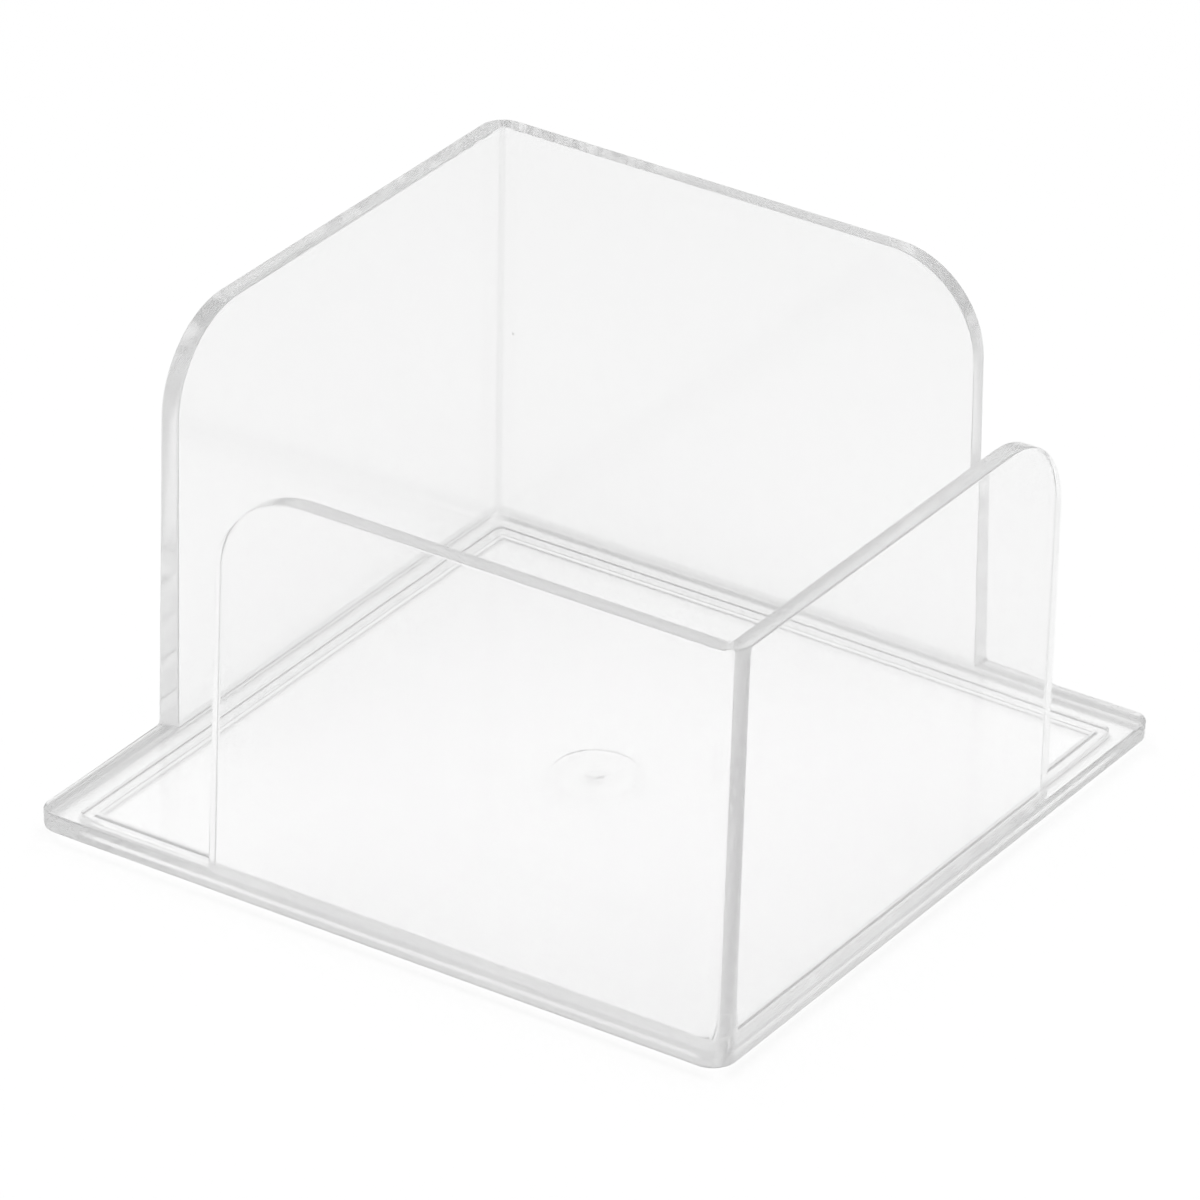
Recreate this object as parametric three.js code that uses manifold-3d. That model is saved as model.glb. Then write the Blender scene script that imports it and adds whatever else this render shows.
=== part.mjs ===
// Memo box: a square clear tray with two L-shaped corner walls and two corners left open for the fingers.
// Millimetres, +Z up. The origin is at the middle of the footprint, at the level that the box stands on.

import * as THREE from "three";
import { mergeVertices } from "three/addons/utils/BufferGeometryUtils.js";
import Module from "manifold-3d";

const wasm = await Module();
wasm.setup();

// Driving sizes of the plate
const plateSide = 98; // across its upper edges
const plateThickness = 2.8;
const openCornerRadius = 2.4; // in plan, where no wall stands
const lowerEdgeRadius = 0.8;

// Driving sizes of the walls
const wallThickness = 2.8; // at the foot
const innerCornerRadius = 0.6; // in plan
const wallLength = 72.5; // each leg at its foot, from the outer corner to the free end
const wallHeight = 53.5; // above the plate
const freeEndRadius = 14.5; // upper corner of each free end
const outerFlare = THREE.MathUtils.degToRad(1); // the outer faces lean outwards
const innerFlare = THREE.MathUtils.degToRad(1.35); // and so do the inner ones
const freeEndLean = THREE.MathUtils.degToRad(1.7); // each free end leans towards its corner

// Driving sizes of the foot
const footHeight = 1.1;
const footWidth = 1.6;
const footInset = 3.6; // from the plate's side to the foot's outer side
const footCornerRadius = 1.2; // outer side, in plan
const footEdgeRadius = 0.4; // both edges of its sole

// Driving sizes of the moulding gate, under the middle of the plate
const gateWellRadius = 5.4;
const gateWellDepth = 0.25;
const gateStubRadius = 1.3;
const gateStubLength = 0.45;

// What every cut runs past the piece that it cuts
const overrun = 1;

// Facets of the round stretches
const cornerFacets = 10;
const edgeFacets = 5;
const gateFacets = 40;

const halfPlate = plateSide / 2;
const halfRoom = halfPlate - wallThickness; // from the middle to the inner face of a wall, at its foot
const closedCornerRadius = innerCornerRadius + wallThickness; // outer side, in plan
const plateTop = footHeight + plateThickness;
const wallTop = plateTop + wallHeight;
const outerSlope = Math.tan(outerFlare);
const innerSlope = Math.tan(innerFlare);
const leanSlope = Math.tan(freeEndLean);

// A square with round corners, centred on the origin. The two where no wall stands can have their own radius.
function roundedSquare(half, radius, openRadius = radius) {
  const straight = half - radius;
  const openStraight = half - openRadius;
  const shape = new THREE.Shape();
  shape.moveTo(straight, -half);
  shape.absarc(straight, -straight, radius, -Math.PI / 2, 0);
  shape.absarc(openStraight, openStraight, openRadius, 0, Math.PI / 2);
  shape.absarc(-straight, straight, radius, Math.PI / 2, Math.PI);
  shape.absarc(-openStraight, -openStraight, openRadius, Math.PI, Math.PI * 1.5);
  shape.closePath();
  return shape;
}

// A straight prism of an outline between two levels
function prism(shape, bottom, top) {
  const geometry = new THREE.ExtrudeGeometry(shape, {
    depth: top - bottom,
    bevelEnabled: false,
    curveSegments: cornerFacets,
  });
  return geometry.translate(0, 0, bottom);
}

// The same with all edges at both ends rounded
function softPrism(shape, bottom, top, radius) {
  const geometry = new THREE.ExtrudeGeometry(shape, {
    depth: top - bottom - radius * 2,
    bevelEnabled: true,
    bevelThickness: radius,
    bevelSize: radius,
    bevelOffset: -radius,
    bevelSegments: edgeFacets,
    curveSegments: cornerFacets,
  });
  return geometry.translate(0, 0, bottom + radius);
}

// Leans the sides outwards by a slope: at the plate's top they stay where they are, half away from the middle
function flare(geometry, half, slope) {
  const points = geometry.attributes.position;
  for (let i = 0; i < points.count; i += 1) {
    const widening = 1 + (slope * (points.getZ(i) - plateTop)) / half;
    points.setX(i, points.getX(i) * widening);
    points.setY(i, points.getY(i) * widening);
  }
  return geometry;
}

function toSolid(geometry) {
  const bare = geometry.index ? geometry.toNonIndexed() : geometry.clone();
  bare.deleteAttribute("normal");
  bare.deleteAttribute("uv");
  const merged = mergeVertices(bare);
  const vertProperties = Float32Array.from(merged.attributes.position.array);
  const triVerts = Uint32Array.from(merged.index.array);
  return new wasm.Manifold(new wasm.Mesh({ numProp: 3, vertProperties, triVerts }));
}

function toGeometry(solid) {
  const mesh = solid.getMesh();
  const geometry = new THREE.BufferGeometry();
  geometry.setAttribute("position", new THREE.BufferAttribute(mesh.vertProperties, 3));
  geometry.setIndex(new THREE.BufferAttribute(mesh.triVerts, 1));
  geometry.computeVertexNormals();
  return geometry;
}

// Side view of one leg. Its free end lies towards -side and the wall's corner towards +side. The leaning
// end edge runs into the level top edge by an arc.
function legProfile(side, bottom) {
  const endFoot = halfPlate - wallLength;
  const arcHeight = wallTop - freeEndRadius;
  const arcCentre = endFoot + leanSlope * (arcHeight - plateTop) + freeEndRadius / Math.cos(freeEndLean);
  const beyondCorner = halfPlate + outerSlope * wallHeight + overrun;
  const beyondTop = wallTop + overrun;
  const arc = new THREE.EllipseCurve(
    arcCentre,
    arcHeight,
    freeEndRadius,
    freeEndRadius,
    Math.PI - freeEndLean,
    Math.PI / 2,
    true,
  );
  const outline = [
    new THREE.Vector2(endFoot + leanSlope * (bottom - plateTop), bottom),
    ...arc.getPoints(cornerFacets * 2),
    new THREE.Vector2(arcCentre, beyondTop),
    new THREE.Vector2(beyondCorner, beyondTop),
    new THREE.Vector2(beyondCorner, bottom),
  ];
  return new THREE.Shape(outline.map((point) => new THREE.Vector2(side * point.x, point.y)));
}

// What both legs of the front corner wall lie within: each leg's prism reaches from the middle past its wall
function legSpace(bottom) {
  const reach = halfPlate + outerSlope * wallHeight + overrun;
  const options = { depth: reach, bevelEnabled: false };
  const frontLeg = new THREE.ExtrudeGeometry(legProfile(1, bottom), options).rotateX(Math.PI / 2);
  const rightLeg = new THREE.ExtrudeGeometry(legProfile(-1, bottom), options).rotateX(Math.PI / 2);
  rightLeg.rotateZ(Math.PI / 2);
  return toSolid(frontLeg).add(toSolid(rightLeg));
}

// The L-shaped wall at the front and right sides: the flared shell of a whole square box, cut to two legs
function cornerWall() {
  const outside = prism(roundedSquare(halfPlate, closedCornerRadius), plateTop, wallTop);
  const room = prism(roundedSquare(halfRoom, innerCornerRadius), plateTop - overrun, wallTop + overrun);
  const outerSide = toSolid(flare(outside, halfPlate, outerSlope));
  const innerSide = toSolid(flare(room, halfRoom, innerSlope));
  return outerSide.subtract(innerSide).intersect(legSpace(plateTop - overrun));
}

// The floor: its sides carry on the walls' outer faces, and its lower edge is round
function basePlate() {
  const outline = roundedSquare(halfPlate, closedCornerRadius, openCornerRadius);
  const lowerRadius = Math.min(lowerEdgeRadius, plateThickness, openCornerRadius);
  const block = softPrism(outline, footHeight, plateTop + lowerRadius + overrun, lowerRadius);
  const plate = toSolid(flare(block, halfPlate, outerSlope)).trimByPlane([0, 0, -1], -plateTop);
  return plate.subtract(gateWell()).add(gateStub());
}

function upright(radius, bottom, top) {
  const geometry = new THREE.CylinderGeometry(radius, radius, top - bottom, gateFacets);
  return toSolid(geometry.rotateX(Math.PI / 2).translate(0, 0, (bottom + top) / 2));
}

function gateWell() {
  return upright(gateWellRadius, footHeight - overrun, footHeight + gateWellDepth);
}

// Hangs from the roof of the well, and stays above the level that the box stands on
function gateStub() {
  const wellRoof = footHeight + gateWellDepth;
  return upright(gateStubRadius, wellRoof - gateStubLength, wellRoof + gateWellDepth);
}

// The square bead that the box stands on. Its section, turned in four steps, makes four sides with mitred
// corners, and the corners are then rounded outside.
function footRing() {
  const outerHalf = halfPlate - footInset;
  const innerHalf = outerHalf - footWidth;
  const radius = Math.min(footEdgeRadius, footWidth / 2, footHeight);
  const section = new THREE.Shape();
  section.moveTo(innerHalf, footHeight);
  section.absarc(innerHalf + radius, radius, radius, Math.PI, Math.PI * 1.5);
  section.absarc(outerHalf - radius, radius, radius, -Math.PI / 2, 0);
  section.lineTo(outerHalf, footHeight);
  section.closePath();
  const corners = section.getPoints(edgeFacets).map((point) => new THREE.Vector2(point.x * Math.SQRT2, point.y));
  const ring = new THREE.LatheGeometry(corners, 4).rotateX(Math.PI / 2).rotateZ(Math.PI / 4);
  const outline = roundedSquare(outerHalf, footCornerRadius);
  return toSolid(ring).intersect(toSolid(prism(outline, -overrun, footHeight + overrun)));
}

function clearPlastic() {
  return new THREE.MeshStandardMaterial({
    color: 0xf4f6f6,
    roughness: 0.05,
    metalness: 0,
    transparent: true,
    opacity: 0.3,
  });
}

function piece(name, geometry) {
  const mesh = new THREE.Mesh(geometry, clearPlastic());
  mesh.name = name;
  return mesh;
}

const memoBox = new THREE.Group();
const wallGeometry = toGeometry(cornerWall());
const rearWall = piece("rear_corner_wall", wallGeometry.clone());
rearWall.rotation.z = Math.PI;

memoBox.add(piece("base_plate", toGeometry(basePlate())));
memoBox.add(piece("front_corner_wall", wallGeometry));
memoBox.add(rearWall);
memoBox.add(piece("foot_ring", toGeometry(footRing())));

export default memoBox;
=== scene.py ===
# %% [markdown]
# A memo box in clear plastic
#
# The object is a box for loose square memo sheets: a square plate, and on it two L-shaped corner
# walls that leave two corners open for the fingers. It comes out of one mould in one shot of clear,
# colourless plastic. It could be put together from a plate and two walls, as the CAD model is, but
# light bends only where plastic meets air, and blocks that touch would show seams inside the
# plastic that the real box hasn't got. So here it is modelled as one closed body.
#
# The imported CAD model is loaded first. It gives the sizes and the place of everything, in metres,
# with +Z up.

# %% Load the frame
import math

import bmesh
import bpy
from mathutils import Matrix, Vector


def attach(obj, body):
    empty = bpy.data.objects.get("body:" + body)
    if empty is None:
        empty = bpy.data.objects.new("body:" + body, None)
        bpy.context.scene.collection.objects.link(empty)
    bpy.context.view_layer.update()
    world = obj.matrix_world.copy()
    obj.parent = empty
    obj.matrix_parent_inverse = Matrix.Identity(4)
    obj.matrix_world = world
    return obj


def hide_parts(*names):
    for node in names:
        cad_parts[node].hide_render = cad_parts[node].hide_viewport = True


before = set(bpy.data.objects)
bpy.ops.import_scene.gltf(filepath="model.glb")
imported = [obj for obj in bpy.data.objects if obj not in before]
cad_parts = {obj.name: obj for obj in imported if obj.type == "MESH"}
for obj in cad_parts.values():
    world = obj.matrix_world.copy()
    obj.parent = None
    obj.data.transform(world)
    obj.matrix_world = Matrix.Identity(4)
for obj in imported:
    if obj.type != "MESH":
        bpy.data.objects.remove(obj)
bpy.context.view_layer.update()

MM = 0.001


# %% [markdown]
# Sizes
#
# Blender counts in metres and a maker in millimetres. So every length is written once, in
# millimetres, and multiplied by one unit value. The sizes that the whole box shares come first, and
# any other stands where it is first needed. They are the CAD model's own. Only the radius of the
# free ends differs, and a few small roundings are made here alone.

# %% Sizes that the whole box shares
PLATE_HALF = 49 * MM
PLATE_THICKNESS = 2.8 * MM
FOOT_HEIGHT = 1.1 * MM
WALL_THICKNESS = 2.8 * MM
WALL_LENGTH = 72.5 * MM
WALL_HEIGHT = 53.5 * MM

PLATE_TOP = FOOT_HEIGHT + PLATE_THICKNESS
WALL_TOP = PLATE_TOP + WALL_HEIGHT
ROOM_HALF = PLATE_HALF - WALL_THICKNESS
WALL_END = PLATE_HALF - WALL_LENGTH
print(f"plate top at {PLATE_TOP / MM:.1f} mm, wall top at {WALL_TOP / MM:.1f} mm")
print(f"free ends at {WALL_END / MM:.1f} mm")

# %% [markdown]
# The plate
#
# The real box stands on a flat square plate, so the body starts as a cube of the plate's size. Its
# top has to be divided where the walls will stand. Each place could be inset for itself, but a
# slice runs straight through the whole plate and keeps both walls in line.


# %% Open a piece
def select_only(thing):
    """An operator acts on all that is selected, so one piece is selected and nothing else."""
    bpy.ops.object.select_all(action="DESELECT")
    thing.select_set(True)
    bpy.context.view_layer.objects.active = thing


def edit(thing):
    """Opens a piece for editing, with nothing selected in it."""
    select_only(thing)
    bpy.ops.object.mode_set(mode="EDIT")
    bpy.ops.mesh.select_all(action="DESELECT")


def done():
    bpy.ops.object.mode_set(mode="OBJECT")


# %% Add a block
def settle(name):
    """Names the new piece and puts its size and its place into its mesh."""
    thing = bpy.context.object
    thing.name = name
    bpy.ops.object.transform_apply(location=True, rotation=True, scale=True)
    return thing


def block(name, half, low, high):
    """A square block round the middle, between two levels."""
    bpy.ops.object.select_all(action="DESELECT")
    bpy.ops.mesh.primitive_cube_add(size=1, location=(0, 0, (low + high) / 2))
    bpy.context.object.scale = (half * 2, half * 2, high - low)
    return settle(name)


body = block("memo_box_body", PLATE_HALF, FOOT_HEIGHT, PLATE_TOP)
print("plate:", [round(v / MM, 2) for v in body.dimensions], "mm")


# %% Slice the plate
def on_axis(axis, length):
    """A vector along one axis."""
    vector = [0, 0, 0]
    vector[axis] = length
    return vector


def slice_at(axis, place):
    """Cuts edges into the open piece where a plane across an axis meets it."""
    bpy.ops.mesh.select_all(action="SELECT")
    bpy.ops.mesh.bisect(plane_co=on_axis(axis, place), plane_no=on_axis(axis, 1), use_fill=False)


edit(body)
for axis in (0, 1):
    for place in (-ROOM_HALF, WALL_END, -WALL_END, ROOM_HALF):
        slice_at(axis, place)
print("plate after slicing:", len(bmesh.from_edit_mesh(body.data).faces), "faces")

# %% [markdown]
# The walls
#
# Each corner wall has two legs, one along each side of its corner. The faces under them are drawn
# up in one extrusion, so that the plate and the walls share one mesh from the start. Walls made
# apart would have to be joined, and a joint inside clear plastic shows.
#
# In edit mode an operator acts on what is selected. By hand one clicks on an edge or a face. A
# script picks it by its place or its direction: each step below has a short test, and then calls
# the operator that a hand would use.


# %% Pick by place
def pick(kind, test):
    """Selects the verts, edges or faces of the open piece that pass a test, and counts them."""
    bpy.ops.mesh.select_mode(type=kind.upper()[:-1])
    bpy.ops.mesh.select_all(action="DESELECT")
    thing = bpy.context.edit_object
    bm = bmesh.from_edit_mesh(thing.data)
    count = 0
    for part in getattr(bm, kind):
        if test(part):
            part.select_set(True)
            count += 1
    bm.select_flush_mode()
    bmesh.update_edit_mesh(thing.data)
    return count


def middle(part):
    """The middle of an edge, or of a face's corners."""
    return sum((v.co for v in part.verts), Vector()) / len(part.verts)


# %% Draw the walls up
UPWARD = 0.9  # a face looks up where its normal's height is more than this


def in_front_leg(x, y):
    """True where the wall along the front side stands."""
    return y < -ROOM_HALF and x > WALL_END


def in_right_leg(x, y):
    return x > ROOM_HALF and y < -WALL_END


def under_wall(face):
    """The rear wall is the front one turned by half a turn, so each place is also tested turned."""
    spot = middle(face)
    places = [(spot.x, spot.y), (-spot.x, -spot.y)]
    stands = any(in_front_leg(*place) or in_right_leg(*place) for place in places)
    return stands and face.normal.z > UPWARD


print("faces under the walls:", pick("faces", under_wall))
bpy.ops.mesh.extrude_region_move(TRANSFORM_OT_translate={"value": (0, 0, WALL_HEIGHT)})
done()

# %% [markdown]
# Flare and lean
#
# A moulded wall is never quite upright, or the part wouldn't leave its mould. Each wall leans
# outwards, by 1 degree outside and 1.35 degrees inside, and each free end leans back by 1.7
# degrees. Scaling the top would be quicker, but it would thicken the walls too. So the top vertices
# are moved sideways, those of each free end along its wall and those of each wall outwards. The
# plate's sides follow the outer slope. The flat faces that the slices cut up are then dissolved
# into one each.

# %% Lean the free ends
END_LEAN = math.radians(1.7)
NEAR = 0.01 * MM


def at(value, place):
    return abs(value - place) < NEAR


def shift(axis, length):
    """Moves what is picked along one axis."""
    bpy.ops.transform.translate(value=on_axis(axis, length))


def end_top(axis, side):
    """A test for the top of the free end that one of the four legs has along an axis."""

    def test(vert):
        in_leg = vert.co[1 - axis] * side < -ROOM_HALF + NEAR
        return in_leg and at(vert.co.z, WALL_TOP) and at(vert.co[axis] * side, WALL_END)

    return test


edit(body)
for axis in (0, 1):
    for side in (1, -1):
        print("vertices at the top of a free end:", pick("verts", end_top(axis, side)))
        shift(axis, side * math.tan(END_LEAN) * WALL_HEIGHT)

# %% Lean the sides
OUTER_LEAN = math.radians(1.0)
INNER_LEAN = math.radians(1.35)
FLAT_ANGLE = math.radians(0.3)


def side_line(axis, side, level, place):
    """A test for the vertices of one side at one level, a given way from the middle."""
    return lambda vert: at(vert.co.z, level) and at(vert.co[axis] * side, place)


for side in (1, -1):
    for axis in (0, 1):
        for level, place, lean in (
            (WALL_TOP, PLATE_HALF, OUTER_LEAN),
            (WALL_TOP, ROOM_HALF, INNER_LEAN),
            (FOOT_HEIGHT, PLATE_HALF, OUTER_LEAN),
        ):
            pick("verts", side_line(axis, side, level, place))
            shift(axis, side * math.tan(lean) * (level - PLATE_TOP))
bpy.ops.mesh.select_all(action="SELECT")
bpy.ops.mesh.dissolve_limited(angle_limit=FLAT_ANGLE)
print("after leaning:", len(bmesh.from_edit_mesh(body.data).faces), "faces")
done()

# %% [markdown]
# The free ends
#
# A large radius rounds the upper corner of each free end, so that no sharp tip stands up. It is one
# bevel of the short edge across the wall. A bevel is set off by the length of the arc's tangent,
# which is a little less than the radius here, because the end leans. An arc could also be drawn and
# cut out of the wall, but the bevel keeps the faces clean and takes one step.


# %% Round the picked edges
def round_edges(name, test, reach, segments):
    """Picks the edges that pass a test and rounds them, with an arc that starts a reach away."""
    print(f"{name}: {pick('edges', test)} edges, rounded over {reach / MM:.2f} mm")
    bpy.ops.mesh.bevel(
        offset=reach,
        offset_type="OFFSET",
        segments=segments,
        profile=0.5,
        affect="EDGES",
        clamp_overlap=False,
    )


# %% Round the free ends
WALL_END_RADIUS = 12.7 * MM
END_TANGENT = WALL_END_RADIUS * math.tan(math.radians(45) - END_LEAN / 2)
SHORT_EDGE = WALL_THICKNESS * 1.5


def across_end(edge):
    """The edge at the top of a free end, which runs across the wall's thickness."""
    spot = middle(edge)
    far_from_corners = min(abs(spot.x), abs(spot.y)) < ROOM_HALF / 2
    short = edge.calc_length() < SHORT_EDGE
    return short and far_from_corners and all(at(v.co.z, WALL_TOP) for v in edge.verts)


edit(body)
round_edges("free ends", across_end, END_TANGENT, segments=48)

# %% [markdown]
# The upright corners
#
# Seen from above, the plate's two open corners have a small radius of their own. Where a wall
# stands, its inner corner is nearly sharp, and the outer corner's radius is the inner one's plus
# the wall's thickness. So the wall stays equally thick all the way round the bend, as a moulder
# wants it, because a thick spot cools slowly and sinks in. Corners could be drawn round from the
# start, but a bevel of the upright edges leans with them.

# %% Round the upright corners
OPEN_CORNER_RADIUS = 2.4 * MM
INNER_CORNER_RADIUS = 0.6 * MM
OUTER_CORNER_RADIUS = INNER_CORNER_RADIUS + WALL_THICKNESS
UPRIGHT = 0.7  # an edge stands up where its height is more than this share of its length


def upright(edge):
    a, b = (v.co for v in edge.verts)
    return abs(a.z - b.z) > edge.calc_length() * UPRIGHT


def outer_corner(edge):
    spot = middle(edge)
    return upright(edge) and min(abs(spot.x), abs(spot.y)) > (PLATE_HALF + ROOM_HALF) / 2


def inner_corner(edge):
    spot = middle(edge)
    in_corner = min(abs(spot.x), abs(spot.y)) > ROOM_HALF - NEAR
    return in_corner and upright(edge) and not outer_corner(edge)


def open_corner(edge):
    spot = middle(edge)
    return outer_corner(edge) and spot.x * spot.y > 0


def closed_corner(edge):
    return outer_corner(edge) and not open_corner(edge)


round_edges("inner corners", inner_corner, INNER_CORNER_RADIUS, segments=12)
round_edges("open corners", open_corner, OPEN_CORNER_RADIUS, segments=24)
round_edges("closed corners", closed_corner, OUTER_CORNER_RADIUS, segments=24)
done()

# %% [markdown]
# The long edges
#
# The plate's lower edge is well rounded all the way, so that the box is easy to pick up from a
# desk. The rims of the wall tops and free ends are softened on both sides, and so is the plate's
# upper edge where it is free. Where a wall stands on the plate, a small fillet fills the angle.
# A Bevel modifier could round all sharp edges at once, but each kind has its own radius here, so
# they are picked and rounded one kind after the other.

# %% Tests for the long edges
ARC_PLAY = 0.05 * MM  # a round corner is made of short flats, which lie a little inside its arc
FLAT_PLAY = 0.03 * MM


def on_square(spot, half, lean, radius):
    """True where a point lies on the upright sides of a leaning square with round corners."""
    here = half + math.tan(lean) * (spot.z - PLATE_TOP)
    x = abs(spot.x)
    y = abs(spot.y)
    core = here - radius
    if x > core and y > core:
        return abs(math.hypot(x - core, y - core) - radius) < ARC_PLAY
    return abs(max(x, y) - here) < FLAT_PLAY


def on_outside(spot):
    radius = OPEN_CORNER_RADIUS if spot.x * spot.y > 0 else OUTER_CORNER_RADIUS
    return on_square(spot, PLATE_HALF, OUTER_LEAN, radius)


def on_inside(spot):
    return on_square(spot, ROOM_HALF, INNER_LEAN, INNER_CORNER_RADIUS)


def along(edge, test):
    return all(test(v.co) for v in edge.verts) and test(middle(edge))


def on_level(edge, level):
    return all(at(v.co.z, level) for v in edge.verts)


# %% Round the wall feet and the plate's lower edge
WALL_FOOT_RADIUS = 0.5 * MM
PLATE_LOWER_RADIUS = 0.8 * MM
SHARP = math.radians(60)


def wall_foot(edge):
    """The hollow edges where a wall stands on the plate, along its inner side and its ends."""
    if not on_level(edge, PLATE_TOP) or edge.is_convex or len(edge.link_faces) != 2:
        return False
    return edge.calc_face_angle(0) > SHARP


edit(body)
round_edges("wall feet", wall_foot, WALL_FOOT_RADIUS, segments=6)
round_edges("lower rim", lambda edge: on_level(edge, FOOT_HEIGHT), PLATE_LOWER_RADIUS, segments=24)

# %% Soften the rims
RIM_RADIUS = 0.25 * MM


def rim_face(face):
    """The walls' tops and free ends, which reach from the outer to the inner side."""
    corners = [v.co for v in face.verts]
    above = middle(face).z > PLATE_TOP + WALL_THICKNESS
    return above and any(on_outside(co) for co in corners) and any(on_inside(co) for co in corners)


def upper_rim(edge):
    """Both rims of the wall tops and free ends, and the plate's rim where it is free."""
    if on_level(edge, PLATE_TOP):
        return along(edge, on_outside) and any(face.normal.z > UPWARD for face in edge.link_faces)
    if not any(rim_face(face) for face in edge.link_faces):
        return False
    return along(edge, on_outside) or along(edge, on_inside)


round_edges("upper rims", upper_rim, RIM_RADIUS, segments=8)
done()

# %% [markdown]
# The bead under the plate
#
# The box stands on a low square bead, which shows through the plate as a double line all round. It
# could be drawn down out of the underside, but its rounded sole is easier to make on a piece of its
# own: a block with rounded corners, less a smaller block. It reaches a little way up into the
# plate, so that the two overlap, and a boolean modifier joins them without a seam.


# %% Join and cut
def boolean(thing, tool, operation):
    """Joins another piece to this one, or cuts it away, and removes the other."""
    select_only(thing)
    bpy.ops.object.modifier_add(type="BOOLEAN")
    step = thing.modifiers[-1]
    step.solver = "EXACT"
    step.operation = operation
    step.object = tool
    bpy.ops.object.modifier_apply(modifier=step.name)
    bpy.data.objects.remove(tool)
    print(operation.lower(), "leaves", len(thing.data.polygons), "faces")


# %% Make the bead
BEAD_WIDTH = 1.6 * MM
BEAD_INSET = 3.6 * MM
BEAD_HALF = PLATE_HALF - BEAD_INSET
BEAD_CORNER_RADIUS = 1.2 * MM
BEAD_EDGE_RADIUS = 0.4 * MM
OVERLAP = PLATE_THICKNESS / 4


def sole_edge(edge):
    """The edges of the sole, where it meets the upright sides."""
    return on_level(edge, 0) and any(face.normal.z > -UPWARD for face in edge.link_faces)


bead = block("bead", BEAD_HALF, 0, FOOT_HEIGHT + OVERLAP)
edit(bead)
round_edges("bead corners", upright, BEAD_CORNER_RADIUS, segments=8)
done()
boolean(bead, block("core", BEAD_HALF - BEAD_WIDTH, -FOOT_HEIGHT, FOOT_HEIGHT), "DIFFERENCE")
edit(bead)
round_edges("bead sole", sole_edge, BEAD_EDGE_RADIUS, segments=8)
done()
boolean(body, bead, "UNION")

# %% [markdown]
# The gate mark
#
# The plastic flowed into the mould through a gate under the middle of the plate. It left a shallow
# round well with a stub in it, and both show through the plate as a faint ring and a spot. A bump
# in the material could hint at them, but light would still bend as on a flat plate at their edges.
# So the well is cut out and the stub is joined on, each by a boolean modifier.

# %% Make the gate mark
GATE_WELL_RADIUS = 5.4 * MM
GATE_WELL_DEPTH = 0.25 * MM
GATE_STUB_RADIUS = 1.3 * MM
GATE_STUB_LENGTH = 0.45 * MM
WELL_ROOF = FOOT_HEIGHT + GATE_WELL_DEPTH
STUB_LOW = WELL_ROOF - GATE_STUB_LENGTH


def disc(name, radius, low, high):
    bpy.ops.object.select_all(action="DESELECT")
    bpy.ops.mesh.primitive_cylinder_add(
        vertices=96, radius=radius, depth=high - low, location=(0, 0, (low + high) / 2)
    )
    return settle(name)


boolean(body, disc("well", GATE_WELL_RADIUS, 0, WELL_ROOF), "DIFFERENCE")
boolean(body, disc("stub", GATE_STUB_RADIUS, STUB_LOW, WELL_ROOF + FOOT_HEIGHT), "UNION")

# %% [markdown]
# Smooth shading
#
# Faces that meet at a small angle share their shading, so that the roundings look round. More and
# smaller faces would do it too, but heavily. Weighted normals then hand each shared corner to its
# larger face, which keeps the flats optically flat. In clear plastic that is plain to see, because
# a bent normal bends what is behind it.

# %% Shade the body
MERGE_DISTANCE = 0.002 * MM
SMOOTH_ANGLE = math.radians(32)

edit(body)
bpy.ops.mesh.select_all(action="SELECT")
bpy.ops.mesh.remove_doubles(threshold=MERGE_DISTANCE)
bpy.ops.mesh.normals_make_consistent(inside=False)
done()
bpy.ops.object.shade_smooth_by_angle(angle=SMOOTH_ANGLE)
bpy.ops.object.modifier_add(type="WEIGHTED_NORMAL")
step = body.modifiers[-1]
step.keep_sharp = True
step.weight = 100  # all of it to the larger face
bpy.ops.object.modifier_apply(modifier=step.name)
print("the body has", len(body.data.polygons), "faces")

# %% [markdown]
# A closed body
#
# Light that enters plastic has to come out again, so the body may have no hole and no stray face.
# Every edge of a closed body has exactly two faces. Its volume is a second test: it says how much
# plastic one box takes, and a body turned inside out would give a negative one.

# %% Measure the body
check = bmesh.new()
check.from_mesh(body.data)
loose = [edge for edge in check.edges if len(edge.link_faces) != 2]
print(f"open edges: {len(loose)}, volume {check.calc_volume() / (10 * MM) ** 3:.2f} ml")
check.free()

# %% [markdown]
# The body takes the place of all four CAD nodes
#
# The CAD model has a node for the plate, the foot ring and each corner wall. They stay for
# collision, and the one body stands for them in the picture.

# %% Put the body on the frame
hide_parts("base_plate", "foot_ring", "front_corner_wall", "rear_corner_wall")
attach(body, "root")
print("the body stands for the plate, the foot ring and both corner walls")

# %% [markdown]
# Marks on the faces
#
# One plastic covers the whole body, but not all of it is equally smooth. A mould is polished where
# the plastic has to be clear, and less in its narrow slots and corners. The material has to know
# these places. Each could have a material of its own, but then the clear volume would end at every
# border. So the faces carry marks, numbers of 1 or 0, which the one material reads as attributes.


# %% Mark the faces
def mark(name, test):
    """Gives each face of the body a number, 1 where it passes a test and otherwise 0."""
    values = [1.0 if test(face) else 0.0 for face in body.data.polygons]
    body.data.attributes.new(name, "FLOAT", "FACE").data.foreach_set("value", values)
    print(name, int(sum(values)), "faces")


# %% Mark the rims and the rear inner corner
LARGE_FACE = 400 * MM * MM
CORNER_ZONE = 5 * MM
RIM_ZONE = 1 * MM
TURNED = 0.02  # a face looks along an axis where its normal's share is more than this


def on_rim(face):
    """The wall tops and free ends, whose faces are small, without the upright corners."""
    spot = face.center
    near_corner = min(abs(spot.x), abs(spot.y)) > PLATE_HALF - CORNER_ZONE
    in_corner = near_corner and spot.z < WALL_TOP - RIM_ZONE
    return face.area < LARGE_FACE and spot.z > PLATE_TOP + RIM_RADIUS and not in_corner


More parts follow.
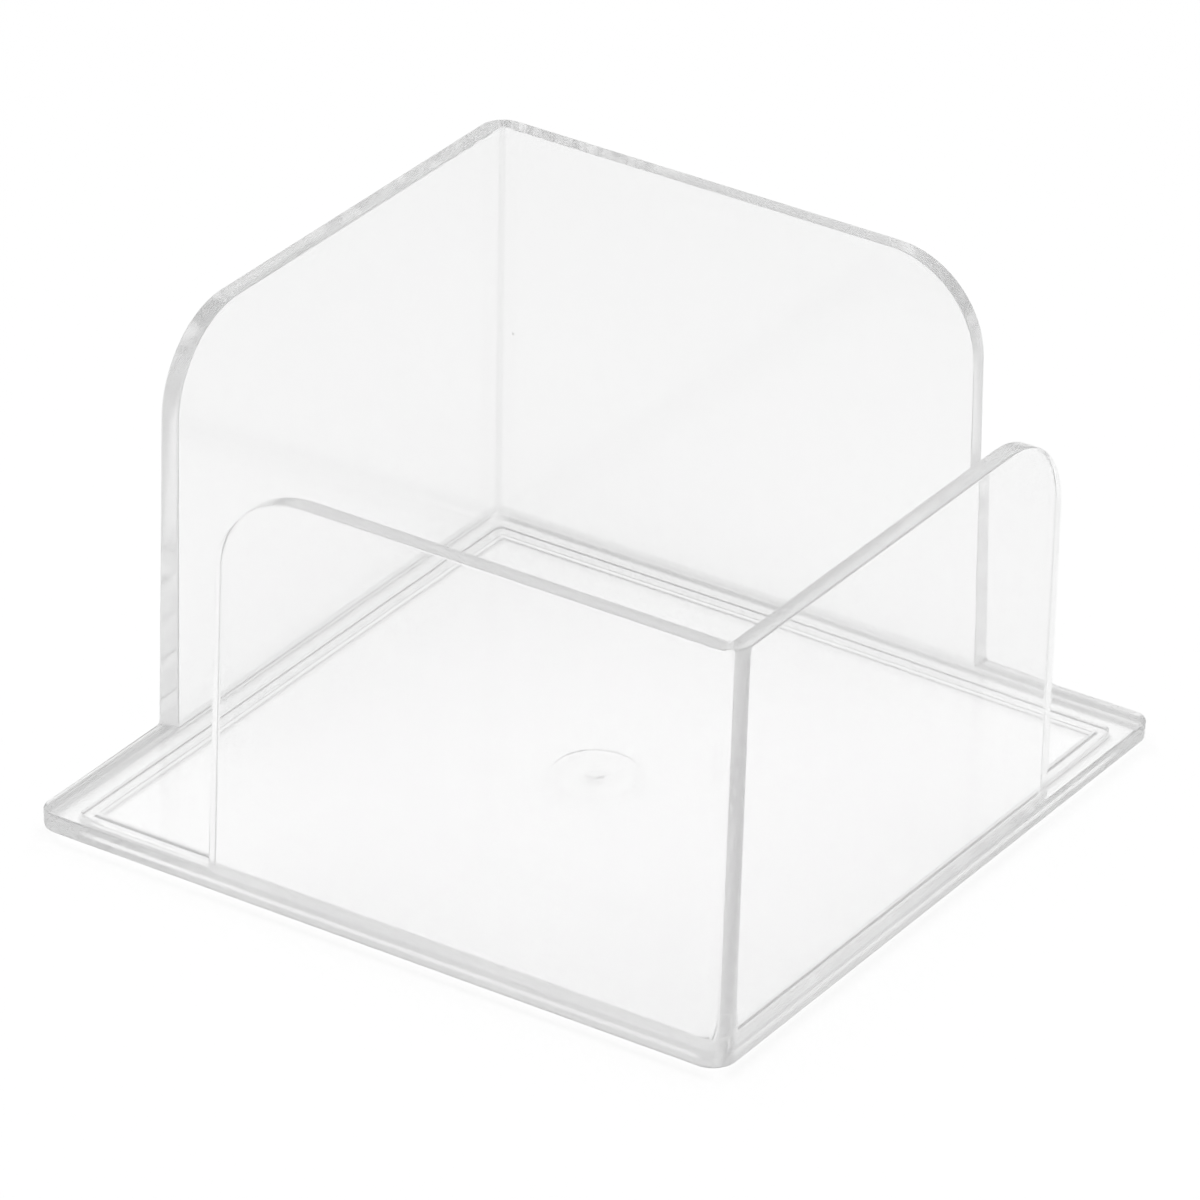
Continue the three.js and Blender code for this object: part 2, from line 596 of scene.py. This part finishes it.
def in_rear_hollow(face):
    """The rear wall's rounded inner corner, whose faces look to the middle of the box both ways."""
    spot = face.center
    inward_x = -face.normal.x * math.copysign(1, spot.x)
    inward_y = -face.normal.y * math.copysign(1, spot.y)
    return min(inward_x, inward_y) > TURNED and spot.x < 0 and spot.z > PLATE_TOP


mark("rim", on_rim)
mark("hollow", in_rear_hollow)

# %% [markdown]
# Marks for the shadows
#
# Under a real clear box the floor stays bright, and only the plate's sides, the bead and the gate
# draw thin dark lines on it. Cycles could trace all light through the plastic, but that takes very
# long and stays noisy. So the marked faces keep their shadow, and all others let the lamps' light
# through.

# %% Mark the edges that keep their shadow
STEEP = 0.95  # a face is steep where its normal's height is less than this
GATE_ZONE = 3 * GATE_WELL_RADIUS


def on_edge(face):
    spot = face.center
    outmost = max(abs(spot.x), abs(spot.y))
    steep = abs(face.normal.z) < STEEP
    if outmost < GATE_ZONE:
        return steep and spot.z < WELL_ROOF
    if spot.z < FOOT_HEIGHT:
        return steep
    return FOOT_HEIGHT < spot.z < PLATE_TOP and outmost > PLATE_HALF - PLATE_LOWER_RADIUS


mark("edge", on_edge)

# %% [markdown]
# Shader maths
#
# A material is a tree of nodes, and its maths takes one Math node for each step. By hand they are
# placed and linked one by one. Here a small class wraps a socket, so that the same tree can be
# written as a formula, such as 1 - side. Every other node comes from one method, which takes its
# type, its sockets and its settings.


# %% Wrap a socket
class Socket:
    """A shader value that takes part in Python expressions. Each operation adds one Math node."""

    def __init__(self, nodes, output):
        self.nodes = nodes
        self.output = output

    def __getitem__(self, name):
        """Another output of the same node."""
        return Socket(self.nodes, self.output.node.outputs[name])

    def __add__(self, other):
        return self.nodes.math("ADD", self, other)

    __radd__ = __add__

    def __mul__(self, other):
        return self.nodes.math("MULTIPLY", self, other)

    __rmul__ = __mul__

    def __sub__(self, other):
        return self.nodes.math("SUBTRACT", self, other)

    def __rsub__(self, other):
        return self.nodes.math("SUBTRACT", other, self)

    def __lt__(self, other):
        return self.nodes.math("LESS_THAN", self, other)

    def __gt__(self, other):
        return self.nodes.math("GREATER_THAN", self, other)

    def __abs__(self):
        return self.nodes.math("ABSOLUTE", self)


# %% Build a node tree
class Nodes:
    """The node tree of a material or a world, emptied first."""

    def __init__(self, owner):
        owner.use_nodes = True
        self.tree = owner.node_tree
        self.tree.nodes.clear()

    def add(self, kind, sockets=None, **settings):
        """Adds a node: first its settings, then the values or links of its sockets."""
        node = self.tree.nodes.new(kind)
        for name, value in settings.items():
            setattr(node, name, value)
        for name, value in (sockets or {}).items():
            if isinstance(value, Socket):
                self.tree.links.new(value.output, node.inputs[name])
            else:
                node.inputs[name].default_value = value
        return Socket(self, node.outputs[0]) if node.outputs else None

    def math(self, operation, *values):
        return self.add("ShaderNodeMath", dict(enumerate(values)), operation=operation)

    def grey(self, value):
        """A value as a colour."""
        return self.add("ShaderNodeCombineColor", {"Red": value, "Green": value, "Blue": value})


# %% [markdown]
# Where the plastic changes
#
# Some places follow from where a point lies. The plate's sides and its underside are found from
# Object coordinates, which stay on the piece wherever the camera stands. The others could be found
# in the same way, but the marks on the faces say it more simply.

# %% Find the places
SIDE_DEPTH = 0.7 * MM
UNDER_PLAY = 0.05 * MM

clear_plastic = bpy.data.materials.new("clear_plastic_body")
plastic = Nodes(clear_plastic)
rim = plastic.add("ShaderNodeAttribute", attribute_name="rim")["Fac"]
hollow = plastic.add("ShaderNodeAttribute", attribute_name="hollow")["Fac"]
edge = plastic.add("ShaderNodeAttribute", attribute_name="edge")["Fac"]
place = plastic.add("ShaderNodeTexCoord")["Object"]
parts = plastic.add("ShaderNodeSeparateXYZ", {"Vector": place})
height = parts["Z"]
outmost = plastic.math("MAXIMUM", abs(parts["X"]), abs(parts["Y"]))
low = height < PLATE_TOP
side = low * (outmost > PLATE_HALF - SIDE_DEPTH)
under = plastic.math("COMPARE", height, FOOT_HEIGHT, UNDER_PLAY)
print("nodes that find the places:", len(plastic.tree.nodes))

# %% [markdown]
# Specks
#
# Clear plastic is never quite clean: tiny dark grains sit in it here and there. They could be
# modelled as balls, but they are hardly a dot wide in the picture. A Voronoi texture fills space
# with cells that each have a middle and a random colour. A speck is what lies close to the middle
# of a cell, and only in the few cells whose colour is strong.

# %% Scatter the specks
CELLS_PER_METRE = 90.0
SPECK_RADIUS = 0.016  # as a share of a cell
SPECK_LUCK = 0.75  # only a cell with more red than this has one

cells = plastic.add("ShaderNodeTexVoronoi", {"Vector": place, "Scale": CELLS_PER_METRE})
luck = plastic.add("ShaderNodeSeparateColor", {"Color": cells["Color"]})["Red"]
speck = (cells["Distance"] < SPECK_RADIUS) * (luck > SPECK_LUCK)
print(f"specks {2 * SPECK_RADIUS / CELLS_PER_METRE / MM:.2f} mm wide at most")

# %% [markdown]
# Waves and grain
#
# Plastic that flows into a narrow wall leaves long faint waves in it, which bend what is seen
# through the wall a little. The plate's sides have a fine grain from the mould. Both are far too
# low to be modelled, so noise feeds a bump. Nothing below the plate's top has waves, because they
# would break up the straight double line of the bead.

# %% Bump the surface
WAVE_SCALE = 45.0
WAVE_HEIGHT = 0.03  # both heights in mm
GRAIN_SCALE = 1500.0
GRAIN_HEIGHT = 0.012
NOISE_DETAIL = 2.0
BUMP_STRENGTH = 0.5


def noise(scale):
    sockets = {"Vector": place, "Scale": scale, "Detail": NOISE_DETAIL}
    return plastic.add("ShaderNodeTexNoise", sockets)


waves = noise(WAVE_SCALE)
grain = noise(GRAIN_SCALE)
relief = WAVE_HEIGHT * (waves * (1 - low)) + GRAIN_HEIGHT * (side * grain)
sockets = {"Height": relief, "Strength": BUMP_STRENGTH, "Distance": 1 * MM}
bump = plastic.add("ShaderNodeBump", sockets)
print(f"waves up to {WAVE_HEIGHT} mm high, grain up to {GRAIN_HEIGHT} mm")

# %% [markdown]
# Clear plastic
#
# Clear plastic bends light with an index of refraction of 1.5. The Principled shader does this once
# its transmission is full. A Glass shader would too, but a Principled one is also understood by
# other programs. The matt places get a little roughness: rims and free ends turn pale grey, the
# plate's sides and underside lose hard mirror images, and the rear inner corner shows as a faint
# upright line. The plate's sides also get painted shade: their base colour is made a touch darker,
# in place of the dark band of shadow that is seen through them.

# %% Make the clear plastic
RIM_ROUGHNESS = 0.11
HOLLOW_ROUGHNESS = 0.50
SIDE_ROUGHNESS = 0.16
UNDER_ROUGHNESS = 0.07
# painted shade: darkens the base colour of the plate's sides, in place of the shadow seen through
# them
SIDE_PAINTED_SHADE = 0.16
SPECK_DARKNESS = 0.6
REFRACTION = 1.5

roughness = RIM_ROUGHNESS * rim + HOLLOW_ROUGHNESS * hollow
roughness = roughness + SIDE_ROUGHNESS * side + UNDER_ROUGHNESS * under
glass = plastic.add(
    "ShaderNodeBsdfPrincipled",
    {
        # the darker base colour on the plate's sides is painted shade; the specks are dark grains
        # in the plastic
        "Base Color": plastic.grey(1 - SIDE_PAINTED_SHADE * side - SPECK_DARKNESS * speck),
        "Roughness": roughness,
        "Normal": bump,
        "IOR": REFRACTION,
        "Transmission Weight": 1.0,
    },
)
print("index of refraction", REFRACTION)

# %% [markdown]
# Shadow and depth of the plastic
#
# A shadow ray asks whether a point on the floor can see a lamp. For such rays the plastic is a
# plain see-through window, except on the marked edges. Plastic also swallows a little light on the
# way, most where one looks along a wall, which gives the rims their grey. A grey base colour would
# darken thin and thick places alike, so an absorbing volume fills the body.

# %% Let the light through
WHITE = (1.0, 1.0, 1.0, 1.0)
HALF_GREY = (0.5, 0.5, 0.5, 1.0)
DENSITY = 1.4  # per metre

shadow = plastic.add("ShaderNodeLightPath")["Is Shadow Ray"]
window = plastic.add("ShaderNodeBsdfTransparent", {"Color": WHITE})
surface = plastic.add("ShaderNodeMixShader", {0: shadow * (1 - edge), 1: glass, 2: window})
absorbed = plastic.add("ShaderNodeVolumeAbsorption", {"Color": HALF_GREY, "Density": DENSITY})
plastic.add("ShaderNodeOutputMaterial", {"Surface": surface, "Volume": absorbed})
body.data.materials.clear()
body.data.materials.append(clear_plastic)
print("materials:", [m.name for m in body.data.materials], "nodes:", len(plastic.tree.nodes))

# %% [markdown]
# The floor
#
# The box stands on white paper. Plain diffuse paper looks grey where the lamps light it weakly, and
# stronger lamps would burn out the plastic. So straight to the camera the paper mostly glows white,
# and keeps only a part of its shadow. Seen through the plastic it is plain lit paper.

# %% Lay the floor
FLOOR_SIZE = 8
FLOOR_LEVEL = -0.1 * MM
PAPER_WHITE = (0.9, 0.9, 0.9, 1.0)
GLOW = 1.02
GLOW_SHARE = 0.82

bpy.ops.object.select_all(action="DESELECT")
bpy.ops.mesh.primitive_plane_add(size=FLOOR_SIZE, location=(0, 0, FLOOR_LEVEL))
floor = settle("white_floor")
white_paper = bpy.data.materials.new("white_paper")
paper = Nodes(white_paper)
to_camera = paper.add("ShaderNodeLightPath")["Is Camera Ray"]
lit = paper.add("ShaderNodeBsdfDiffuse", {"Color": PAPER_WHITE})
glowing = paper.add("ShaderNodeEmission", {"Color": WHITE, "Strength": GLOW})
sheet = paper.add("ShaderNodeMixShader", {0: GLOW_SHARE * to_camera, 1: lit, 2: glowing})
paper.add("ShaderNodeOutputMaterial", {"Surface": sheet})
floor.data.materials.append(white_paper)
print(f"floor of {FLOOR_SIZE} m at {FLOOR_LEVEL / MM:.1f} mm")

# %% [markdown]
# The room
#
# Clear plastic has no colour of its own, and its edges show only what they mirror and bend. In a
# studio black cards stand at both sides of a clear object and give it grey edges. Cards here would
# have to be hidden from the camera. So the world itself is dark near the horizon and pale above,
# but only in reflections and through the plastic. The camera sees it white, and it lights the box
# evenly.

# %% Make the world
WORLD_LIGHT = 0.35
WORLD_SEEN = 0.92
HORIZON_SEEN = 0.15
DARK_UP_TO = 0.08  # both heights on a sphere of 1 round the box
PALE_FROM = 0.40

world = bpy.data.worlds.new("studio")
bpy.context.scene.world = world
air = Nodes(world)
path = air.add("ShaderNodeLightPath")
to_camera = path["Is Camera Ray"]
seen = air.math("MAXIMUM", path["Is Glossy Ray"], path["Is Transmission Ray"])
direction = air.add("ShaderNodeTexCoord")["Generated"]
rise = {
    "Value": air.add("ShaderNodeSeparateXYZ", {"Vector": direction})["Z"],
    "From Min": DARK_UP_TO,
    "From Max": PALE_FROM,
    "To Min": HORIZON_SEEN,
    "To Max": WORLD_SEEN,
}
backdrop = air.add("ShaderNodeMapRange", rise, interpolation_type="SMOOTHSTEP")
strength = WORLD_LIGHT + (1 - WORLD_LIGHT) * to_camera + (backdrop - WORLD_LIGHT) * seen
background = air.add("ShaderNodeBackground", {"Color": WHITE, "Strength": strength})
air.add("ShaderNodeOutputWorld", {"Surface": background})
print("nodes of the world:", len(air.tree.nodes))

# %% [markdown]
# The lamps
#
# Three softboxes light the box: a large one above it, and a smaller one each behind it and to its
# left. Small lamps would throw hard shadows and bright spots. The softboxes' own shapes stay out of
# the plastic, because the photograph shows no lamp mirrored in it.

# %% Hang the lamps
LAMPS = (  # name, place in metres, width in metres, watts
    ("softbox_top", (0.3, -0.4, 2.0), 2.2, 31.5),
    ("softbox_back", (-0.1, 2.0, 1.8), 0.9, 7.0),
    ("softbox_left", (-1.1, 0.1, 2.0), 0.7, 5.0),
)


def softbox(name, place, size, watts):
    """A square lamp that shines at the box."""
    bpy.ops.object.select_all(action="DESELECT")
    bpy.ops.object.light_add(type="AREA", location=place)
    lamp = bpy.context.object
    lamp.name = name
    lamp.data.shape = "SQUARE"
    lamp.data.size = size
    lamp.data.energy = watts
    lamp.visible_glossy = False
    lamp.visible_transmission = False
    lamp.rotation_euler = Vector(place).to_track_quat("Z", "Y").to_euler()
    print(f"{name} with {watts} W, {Vector(place).length:.1f} m away")


for lamp in LAMPS:
    softbox(*lamp)

# %% [markdown]
# The camera
#
# The camera was solved from the photograph: from the plate's corners, the wall tops and the lines
# of the bead. The solution gives three directions, to the right and down in the picture and
# forwards out of the camera. Blender's camera looks along its own -Z with +Y up, so two of the
# three are turned round. Aiming by eye would never bring all edges onto the photograph's.

# %% Place the camera
RIGHT = Vector((0.834692, 0.550262, 0.022358))
DOWN = Vector((0.280971, -0.390585, -0.876641))
FORWARD = Vector((-0.473650, 0.738007, -0.480626))
CAMERA_PLACE = Vector((0.539066, -0.841007, 0.573826))
LENS = 284.105  # lens and sensor in mm, as on a real camera
SENSOR = 36
NEAREST = 0.01
FARTHEST = 100

camera_data = bpy.data.cameras.new("camera")
camera_data.lens = LENS
camera_data.sensor_width = SENSOR
camera_data.clip_start = NEAREST
camera_data.clip_end = FARTHEST
camera = bpy.data.objects.new("camera", camera_data)
bpy.context.scene.collection.objects.link(camera)
turn = Matrix((RIGHT, -DOWN, -FORWARD)).transposed()
camera.matrix_world = Matrix.Translation(CAMERA_PLACE) @ turn.to_4x4()
bpy.context.scene.camera = camera
print(f"camera {CAMERA_PLACE.length:.2f} m from the middle of the box")

# %% [markdown]
# How the picture is taken
#
# The view transform is Standard, so that white stays white. Inside clear plastic a ray is thrown
# back and forth many times before it comes out, and a ray that is given up turns black. With few
# bounces the plate's edge would be full of dark flecks, so a ray may take many.

# %% Set the light paths
BOUNCES = 200

scene = bpy.context.scene
scene.view_settings.view_transform = "Standard"
scene.cycles.denoising_input_passes = "RGB"
scene.cycles.max_bounces = BOUNCES
scene.cycles.glossy_bounces = BOUNCES
scene.cycles.transmission_bounces = BOUNCES
scene.cycles.transparent_max_bounces = BOUNCES
print("a ray may bounce", BOUNCES, "times")
